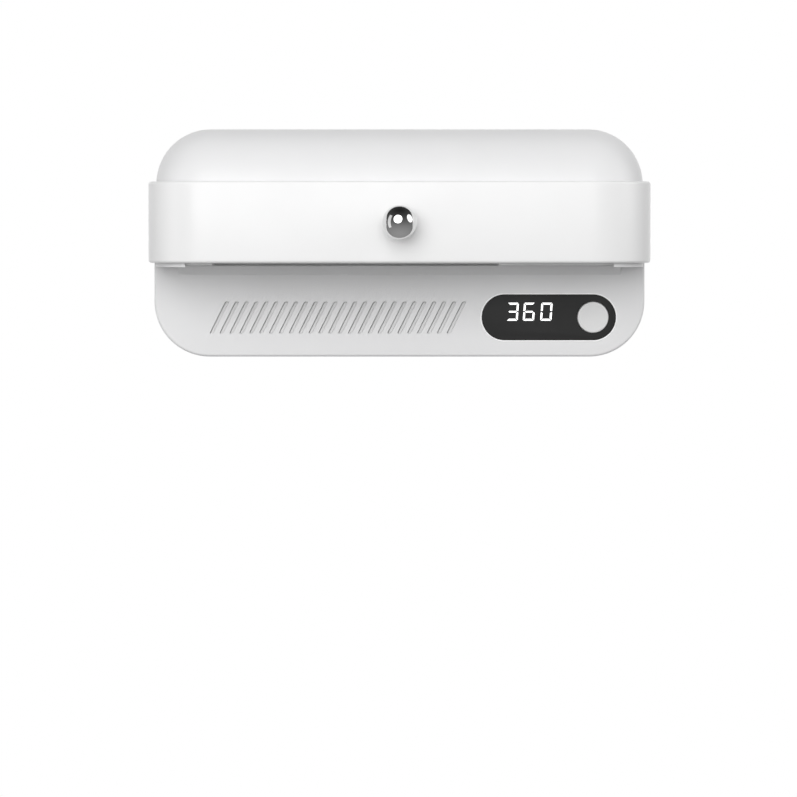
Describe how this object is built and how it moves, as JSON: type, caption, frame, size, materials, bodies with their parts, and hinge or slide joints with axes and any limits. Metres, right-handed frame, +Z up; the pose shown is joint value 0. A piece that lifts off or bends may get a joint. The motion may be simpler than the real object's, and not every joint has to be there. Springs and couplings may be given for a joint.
{
  "type": "toothbrush sanitizer",
  "caption": "Wall-hung toothbrush sanitizer: domed white hood with a visor door and chrome knob over a vented panel with a dark display, a round button and an open-bottomed brush rack.",
  "frame": {"origin": "centre of the face of the adhesive pad that sticks to the wall", "axes": "+X to the right as seen from the room, +Y into the wall, +Z up"},
  "size_m": [0.2528, 0.0851, 0.1149],
  "materials": {
    "white_shell": "satin moulded",
    "door_shell": "polished",
    "shelf_shell": "satin moulded",
    "panel_button": "satin moulded",
    "display_lens": "polished dark, digits lit white from behind",
    "dark_plastic": "textured",
    "window_glass": "clear",
    "knob_chrome": "mirror polished",
    "steel_hardware": "zinc plated",
    "magnet_nickel": "nickel plated",
    "reflector": "bright anodised",
    "nylon": "natural",
    "pad_foam": "closed-cell foam with adhesive",
    "filter_mesh": "open mesh",
    "circuit_board": "solder mask",
    "heater_ceramic": "unglazed",
    "battery_wrap": "shrink wrap",
    "uv_lamp": "lamp package",
    "lead_insulation": "insulation"
  },
  "bodies": {
    "wall_plate": {"adhesive_pad": "pad_foam", "wall_bracket": "white_shell"},
    "main_unit": {"rear_housing": "white_shell", "back_cover": "white_shell", "hood": "white_shell", "shelf_plate": "shelf_shell", "brush_rack": "shelf_shell", "rack_screw_left": "steel_hardware", "rack_screw_right": "steel_hardware", "shelf_magnet_left": "magnet_nickel", "shelf_magnet_right": "magnet_nickel", "door_sensor": "dark_plastic", "friction_washer_left": "nylon", "friction_washer_right": "nylon", "display_lens": "display_lens", "display_module": "dark_plastic", "main_board": "circuit_board", "tact_switch": "dark_plastic", "battery_pack": "battery_wrap", "charging_socket": "steel_hardware", "uv_board": "circuit_board", "uv_window": "window_glass", "reflector_panel": "reflector", "blower_housing": "dark_plastic", "blower_motor": "steel_hardware", "air_duct": "dark_plastic", "heater": "heater_ceramic", "dust_filter": "filter_mesh", "blower_lead": "lead_insulation", "battery_lead": "lead_insulation", "lamp_lead": "lead_insulation", "back_screw_1": "steel_hardware", "hood_screw_1": "steel_hardware", "uv_lamp_1": "uv_lamp", "back_screw_2": "steel_hardware", "hood_screw_2": "steel_hardware", "uv_lamp_2": "uv_lamp", "back_screw_3": "steel_hardware", "hood_screw_3": "steel_hardware", "uv_lamp_3": "uv_lamp", "back_screw_4": "steel_hardware", "hood_screw_4": "steel_hardware", "uv_lamp_4": "uv_lamp"},
    "visor_door": {"door": "door_shell", "knob": "knob_chrome", "knob_washer": "nylon", "knob_screw": "steel_hardware", "door_magnet_left": "magnet_nickel", "door_magnet_right": "magnet_nickel", "hinge_screw_left": "steel_hardware", "hinge_screw_right": "steel_hardware"},
    "power_button": {"button": "panel_button"},
    "blower_rotor": {"blower_impeller": "dark_plastic"}
  },
  "joints": [
    {"name": "unit_lift", "type": "slide", "parent": "wall_plate", "child": "main_unit", "axis": [0, 0, 1], "range_m": [0, 0.009]},
    {"name": "door_hinge", "type": "hinge", "parent": "main_unit", "child": "visor_door", "pos_m": [0, -0.029, 0.0225], "axis": [-1, 0, 0], "range_deg": [0, 90]},
    {"name": "button_press", "type": "slide", "parent": "main_unit", "child": "power_button", "axis": [0, 1, 0], "range_m": [0, 0.0008], "stiffness_N_per_m": 600, "springref_m": -0.0012},
    {"name": "blower_spin", "type": "hinge", "parent": "main_unit", "child": "blower_rotor", "pos_m": [-0.06, -0.012, -0.033], "axis": [0, -1, 0], "continuous": true}
  ]
}
